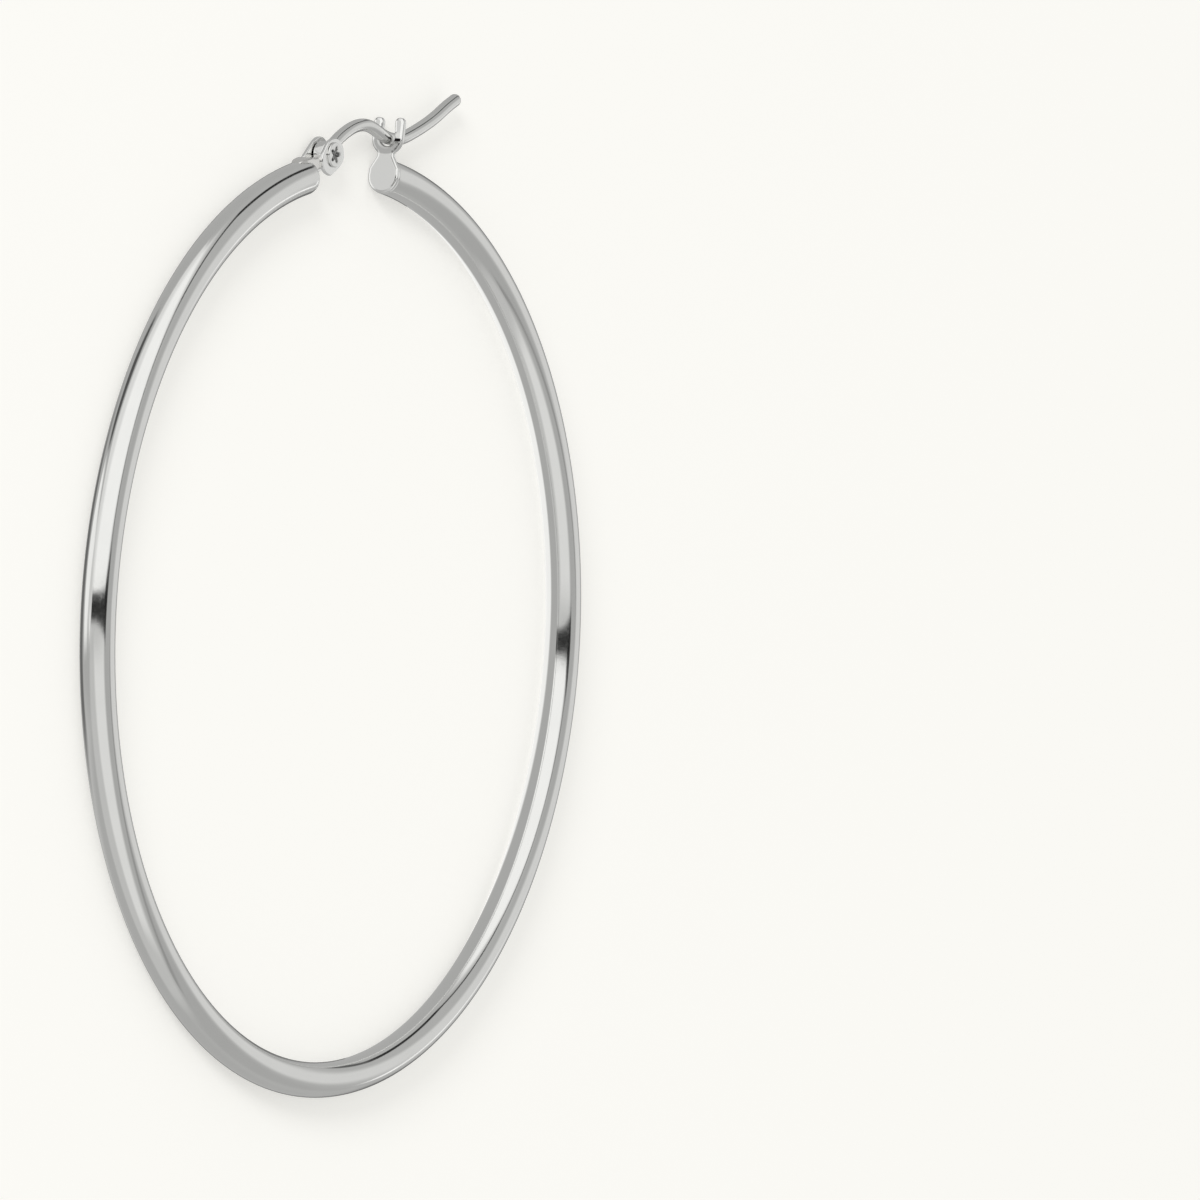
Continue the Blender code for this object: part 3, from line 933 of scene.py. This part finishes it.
@dataclass
class EarWire:
    """The ear wire: a round wire with a rounded tip, on a flat eye that turns on the rivet."""

    eye_radius: float = 0.85 * MM
    eye_half: float = 0.38 * MM
    bore_radius: float = 0.34 * MM
    eye_rounding: float = 0.12 * MM
    eye_sides: int = 72
    buried_share: float = 0.55
    steps: int = 260
    sides: int = 40
    nose_length: float = 0.92 * WIRE_RADIUS
    nose_end_angle: float = 86.0
    nose_rings: int = 9
    line: tuple[Pair, ...] = (
        (0.00, 0.00), (0.90, 0.40), (1.80, 0.77), (2.95, 1.10), (4.05, 1.25), (5.05, 1.18),
        (5.75, 0.98), (6.40, 0.67), (7.12, 0.28), (8.00, -0.09), (8.65, -0.25), (9.40, -0.31),
        (10.15, -0.26), (11.40, -0.08), (12.67, 0.16), (13.95, 0.48), (15.24, 0.89), (16.35, 1.18),
    )

    def path(self) -> Array:
        """Centre line of the wire, from inside the eye over the arch and through the notch to the tip.

        Returns:
            The points, one a row.
        """
        pivot = at_end(Side.HINGE, np.array([PIVOT_REACH, PIVOT_RISE, 0.0]))
        notch = at_end(Side.CATCH, np.array([0.0, CATCH_RISE, 0.0]))
        along = (notch - pivot) / np.linalg.norm(notch - pivot)
        up = np.array([-along[1], along[0], 0.0])
        line = np.array(self.line) * MM
        run = smooth_line(pivot + line[:, 0:1] * along + line[:, 1:2] * up, self.steps)
        away = np.linalg.norm(run - pivot, axis=1)
        return run[away > self.eye_radius * self.buried_share]

    def wire(self) -> Surface:
        """The wire: circles along its path, then shrinking ones that round off the tip.

        Beyond the path's end the circle's radius is the wire's times the cosine of an angle, and the
        step ahead is the nose's length times its sine.

        Returns:
            The wire's surface.
        """
        path = self.path()
        ahead = path[-1] - path[-2]
        ahead /= np.linalg.norm(ahead)
        turn = np.radians(np.linspace(0.0, self.nose_end_angle, self.nose_rings))[1:]
        nose = path[-1] + np.sin(turn)[:, None] * self.nose_length * ahead
        radii = np.concatenate([np.full(len(path), WIRE_RADIUS), WIRE_RADIUS * np.cos(turn)])
        rings = swept_rings(np.concatenate([path, nose]), radii, self.sides)
        return Surface("ear_wire_rod", rings, first_pole=True, last_pole=True)

    def eye(self) -> Surface:
        """The eye: a flat ring with rounded edges, turned round the rivet's axis.

        Returns:
            The eye's surface, whose rows go once round the ring's section.
        """
        outer = rounded_edge(self.eye_half, self.eye_rounding)
        bore = np.array([[0.0, self.eye_half], [EDGE_HOLD, self.eye_half]]) + [self.bore_radius, 0.0]
        rim = np.stack([self.eye_radius - outer[:, 0], outer[:, 1]], axis=1)
        section = np.concatenate([bore, rim, bore[::-1] * [1.0, -1.0]])
        angles = circle_angles(self.eye_sides)
        return Surface("ear_wire_eye", turned(section[:, 0:1], angles, section[:, 1:2]), wrap_rows=True)

    def dress(self) -> None:
        """Builds the wire and its eye and gives them their finish."""
        finish = WIRE_FINISH.material()
        fitted(self.wire(), Body.EAR_WIRE, finish, "ear_wire")
        fitted(self.eye(), Body.EAR_WIRE, finish, "ear_wire")


def direction(way: Pair) -> Array:
    """Unit vector of an azimuth from +X towards +Y and an elevation, both in degrees."""
    turn, rise = np.radians(way)
    return np.array([np.cos(rise) * np.cos(turn), np.cos(rise) * np.sin(turn), np.sin(rise)])


@dataclass(frozen=True)
class SoftBox:
    """A flat panel of the light tent, given by the directions of its corners as the earring sees them."""

    level: float
    softness: float
    corners: tuple[Pair, ...]

    def mask(self, sheet: NodeSheet, looked: Socket) -> Socket:
        """How much of the panel is seen in each direction.

        Each side lies in a plane through the earring. The mask is a smooth step of the smallest
        distance to these planes, counted inwards.

        Args:
            sheet: the tree that the nodes go into.
            looked: the looked-in direction.

        Returns:
            A number from 0 to 1.
        """
        ways = np.array([direction(corner) for corner in self.corners])
        middle = ways.mean(axis=0)
        smallest = None
        for near, far in zip(ways, np.roll(ways, -1, axis=0)):
            side = np.cross(near, far)
            side *= np.sign(side @ middle) / np.linalg.norm(side)
            inward = sheet.dot(looked, side)
            smallest = inward if smallest is None else sheet.math("MINIMUM", smallest, inward)
        edge = math.sin(math.radians(self.softness))
        return sheet.ramp(smallest, -edge, edge, 0.0, 1.0)


@dataclass(frozen=True)
class Seam:
    """A dark or bright line of the light tent between two directions."""

    level: float
    softness: float
    half_width: float
    ends: tuple[Pair, Pair]
    tip_softness: float = 2.0

    def mask(self, sheet: NodeSheet, looked: Socket) -> Socket:
        """How much of the line is seen in each direction.

        The line lies in a plane through the earring. The mask is a smooth step of the distance to
        that plane, times one of the distance beyond either end.

        Args:
            sheet: the tree that the nodes go into.
            looked: the looked-in direction.

        Returns:
            A number from 0 to 1.
        """
        start, end = (direction(way) for way in self.ends)
        across = np.cross(start, end)
        across /= np.linalg.norm(across)
        middle = (start + end) / np.linalg.norm(start + end)
        along = np.cross(across, middle)
        spreads = np.radians([self.half_width, self.softness, self.tip_softness])
        half, edge, tip = np.sin(spreads).tolist()
        reach = abs(float(start @ along))
        off = sheet.math("ABSOLUTE", sheet.dot(looked, across))
        past = sheet.math("ABSOLUTE", sheet.dot(looked, along))
        ahead = sheet.math("GREATER_THAN", sheet.dot(looked, middle), 0.0)
        wide = sheet.ramp(off, half - edge, half + edge, 1.0, 0.0)
        long = sheet.ramp(past, reach - tip, reach + tip, 1.0, 0.0)
        return sheet.math("MULTIPLY", sheet.math("MULTIPLY", wide, long), ahead)


@dataclass
class Studio:
    """A light tent with a pale floor, one low soft key light and a long lens."""

    paper: Triple = (0.956, 0.947, 0.913)
    light: Triple = (1.0, 1.0, 0.985)
    low_level: float = 0.47
    level: float = 0.50
    top_level: float = 0.46
    even_level: float = 0.635
    horizon: Pair = (-0.2, 0.2)
    overhead: Pair = (0.7, 1.0)
    floor_reach: float = 4.0
    floor_reflectance: float = 0.72
    floor_glow: float = 0.42
    slip_height: float = 0.02 * MM
    slip_turn: Pair = (20.0, 170.0)
    slip_reach: Pair = (20.0 * MM, 28.6 * MM)
    slip_steps: int = 60
    slip_offset: Pair = (-2.28 * MM, -0.74 * MM)
    slip_radius: float = 29.60 * MM
    slip_softness: float = 0.2 * MM
    slip_level: float = 1.05
    key_power: float = 30.0
    key_size: float = 0.8
    key_from: Triple = (-2.2, 1.1, 0.9)
    tent: tuple[SoftBox | Seam, ...] = (
        # Low surroundings in front, below and beside the earring
        SoftBox(0.58, 9, ((207, -39), (349, -33), (347, -60), (209, -60))),
        SoftBox(0.16, 6, ((230, -70), (300, -73), (345, -62), (5, -55), (32, -64), (60, -70), (110, -80))),
        SoftBox(0.69, 4, ((184, -12), (184, -40), (160, -44), (148, -30), (158, -12))),
        SoftBox(1.00, 3, ((186, -43), (160, -35), (138, -48), (124, -60), (150, -74), (190, -66))),
        SoftBox(0.17, 5, ((338, -10), (16, -10), (16, -42), (338, -42))),
        # The right box, the dim side next to it and the soft seams over them
        SoftBox(0.74, 7, ((345, 4), (346, 54), (30, 58), (22, 8))),
        SoftBox(0.45, 8, ((286, 10), (333, 8), (336, 45), (322, 62), (284, 52))),
        Seam(0.30, 3.5, 2.5, ((285, 36), (304, 58))),
        Seam(0.30, 3.5, 2.5, ((304, 58), (356, 60))),
        # The second box, with its brighter middle
        SoftBox(0.60, 6, ((183, -18), (184, 76), (246, 70), (284, 30), (275, -10), (230, -28))),
        SoftBox(0.82, 7, ((186, 10), (188, 72), (244, 66), (268, 36), (254, 12))),
        # The main box, its brighter middle, the grey side of its frame and the seams round it
        SoftBox(
            0.82,
            2,
            ((177, -18), (150, -34), (130, -41), (112, -36), (88, -11), (65, 14), (107, 63), (172, 78)),
        ),
        SoftBox(1.05, 9, ((178, -12), (145, -14), (100, -2), (72, 16), (105, 58), (172, 74))),
        SoftBox(0.50, 1.5, ((107, 64.5), (86, 45), (67, 20), (58, 20), (66, 45), (95, 72))),
        Seam(0.10, 1.0, 1.4, ((172, 80), (107, 64))),
        Seam(0.10, 1.0, 1.4, ((107, 64), (86, 44))),
        Seam(0.06, 1.0, 2.4, ((86, 44), (67, 19))),
        Seam(0.03, 1.2, 4.3, ((68, 19), (38, 13))),
        Seam(0.12, 1.5, 2.9, ((39, 14), (26, -12))),
        # A bright lamp line, a dark stand, a lamp head, and the dark slit between the boxes with its foot
        Seam(1.10, 1.0, 2.4, ((338, 11), (352, 17))),
        SoftBox(0.10, 2, ((128, -50), (112, -42), (97, -36), (88, -45), (84, -58), (100, -63), (120, -60))),
        SoftBox(1.00, 1.2, ((183, -21), (177, -21), (177, -27), (183, -27))),
        SoftBox(0.08, 1.5, ((178, 66), (177, 86), (110, 82), (146, 76), (164, 67))),
        Seam(0.02, 0.9, 3.3, ((176.2, -16), (176.2, 84))),
    )
    camera_back: Triple = (-0.86239, 0.03065, 0.50532)
    camera_up: Triple = (0.01292, 0.99917, -0.03855)
    camera_right: Triple = (0.50608, 0.02672, 0.86207)
    camera_place: Triple = (-2.543132, 0.090897, 1.510888)
    lens: float = 1400.0
    sensor_width: float = 36.0
    clip_range: Pair = (0.1, 10.0)

    def sky(self) -> None:
        """Sets the surroundings: paper to the camera, panels to the metal, even light to the rest."""
        world = bpy.data.worlds.new("light_tent")
        bpy.context.scene.world = world
        world.use_nodes = True
        sheet = NodeSheet(world.node_tree)
        place = sheet.add("TexCoord").outputs["Generated"]
        whole = sheet.add("VectorMath", place, operation="NORMALIZE").outputs[0]
        height = sheet.add("SeparateXYZ", whole).outputs["Z"]
        brightness = sheet.ramp(height, *self.horizon, self.low_level, self.level)
        top = sheet.ramp(height, *self.overhead, 0.0, self.top_level - self.level)
        brightness = sheet.math("ADD", brightness, top)
        for part in self.tent:
            brightness = sheet.mixed("FLOAT", part.mask(sheet, whole), brightness, part.level)
        tent = sheet.add("Background", (*self.light, 1.0), brightness)
        even = sheet.add("Background", (*self.light, 1.0), self.even_level)
        paper = sheet.add("Background", (*self.paper, 1.0), 1.0)
        ray = sheet.add("LightPath").outputs
        around = sheet.add("MixShader", ray["Is Glossy Ray"], even.outputs[0], tent.outputs[0])
        both = sheet.add("MixShader", ray["Is Camera Ray"], around.outputs[0], paper.outputs[0])
        sheet.add("OutputWorld", both.outputs[0])

    def laid_sheet(self, name: str, points: Array, faces: list[list[int]]) -> tuple[Piece, NodeSheet]:
        """A level sheet that belongs to the studio, with an empty node material.

        Args:
            name: name of the sheet and, with a word added, of its material.
            points: its corners, one a row.
            faces: the corners of each face.

        Returns:
            The sheet's object and the node tree of its material.
        """
        mesh = bpy.data.meshes.new(name)
        mesh.from_pydata(points.tolist(), [], faces)
        made = bpy.data.materials.new(f"{name}_paper")
        made.use_nodes = True
        mesh.materials.append(made)
        piece = linked(name, mesh)
        return piece, NodeSheet(made.node_tree)

    def floor(self) -> None:
        """Lays the pale floor, level with the lowest line of the tube."""
        corners = np.array([[-1, -1, 0], [1, -1, 0], [1, 1, 0], [-1, 1, 0]]) * self.floor_reach
        piece, sheet = self.laid_sheet("floor", corners, [[0, 1, 2, 3]])
        tone = [self.floor_reflectance * part / self.paper[0] for part in self.paper]
        matt = sheet.add("BsdfDiffuse", (*tone, 1.0))
        glow = sheet.add("Emission", (*self.paper, 1.0))
        seen = sheet.add("LightPath").outputs["Is Camera Ray"]
        sheet.put(glow.inputs["Strength"], sheet.math("MULTIPLY", seen, self.floor_glow))
        both = sheet.add("AddShader", matt.outputs[0], glow.outputs[0])
        sheet.add("OutputMaterial", both.outputs[0])
        piece.visible_glossy = False

    def reflection_slip(self) -> None:
        """Lays a glowing slip inside the hoop that lights nothing and only the metal shows: a painted
        reflection, grey with a bright band next to the tube.

        The slip is part of a flat ring: its points stand at an angle from the clasp and at one of
        two reaches. The bright part lies outside a circle that is set off to the hinge's side.
        """
        angles = np.radians(np.linspace(*self.slip_turn, self.slip_steps + 1))
        turn, reach = np.meshgrid(angles, self.slip_reach, indexing="ij")
        points = HOOP_CENTRE + np.stack([reach * np.sin(turn), reach * np.cos(turn), 0 * turn], axis=2)
        points[..., 2] = self.slip_height
        faces = 2 * np.arange(self.slip_steps)[:, None] + np.array([0, 1, 3, 2])
        piece, sheet = self.laid_sheet("reflection_slip", points.reshape(-1, 3), faces.tolist())
        place = sheet.add("TexCoord").outputs["Object"]
        middle = HOOP_CENTRE * [1.0, 1.0, 0.0] + [*self.slip_offset, 0.0]
        away = sheet.add("VectorMath", place, tuple(middle), operation="DISTANCE").outputs["Value"]
        edge = (self.slip_radius - self.slip_softness, self.slip_radius + self.slip_softness)
        # Painted reflection: a grey glow, brighter outside the circle next to the tube.
        level = sheet.ramp(away, *edge, self.low_level, self.slip_level)
        glow = sheet.add("Emission", (*self.light, 1.0), level)
        sheet.add("OutputMaterial", glow.outputs[0])
        piece.visible_camera = False
        piece.visible_diffuse = False
        piece.visible_shadow = False

    def key_light(self) -> None:
        """Sets one large soft light low on the camera's left, which the metal doesn't show."""
        data = bpy.data.lights.new("key_light", "AREA")
        data.shape = "DISK"
        data.size = self.key_size
        data.energy = self.key_power
        lamp = linked("key_light", data)
        source = Vector(self.key_from)
        lamp.location = source
        lamp.rotation_mode = "QUATERNION"
        lamp.rotation_quaternion = (-source).to_track_quat("-Z", "Y")
        lamp.visible_glossy = False
        lamp.visible_camera = False

    def camera(self) -> None:
        """Sets the camera at the photographed angle, far off with a long lens."""
        data = bpy.data.cameras.new("camera")
        data.lens = self.lens
        data.sensor_width = self.sensor_width
        data.clip_start, data.clip_end = self.clip_range
        lens = linked("camera", data)
        turn = Matrix((self.camera_right, self.camera_up, self.camera_back)).transposed()
        lens.matrix_world = Matrix.Translation(self.camera_place) @ turn.to_4x4()
        bpy.context.scene.camera = lens

    def dress(self) -> None:
        """Builds the studio."""
        self.sky()
        self.floor()
        self.reflection_slip()
        self.key_light()
        self.camera()
        bpy.context.scene.view_settings.view_transform = "Standard"
        bpy.context.scene.view_settings.look = "None"


def main() -> None:
    """Builds the earring's pieces and the studio."""
    logging.basicConfig(level=logging.INFO, format="%(name)s %(message)s")
    for assembly in (HoopTube(), CatchPlate(), HingeBracket(), HingeRivet(), EarWire(), Studio()):
        assembly.dress()
        LOG.info("%s done", type(assembly).__name__)


if __name__ == "__main__":
    main()
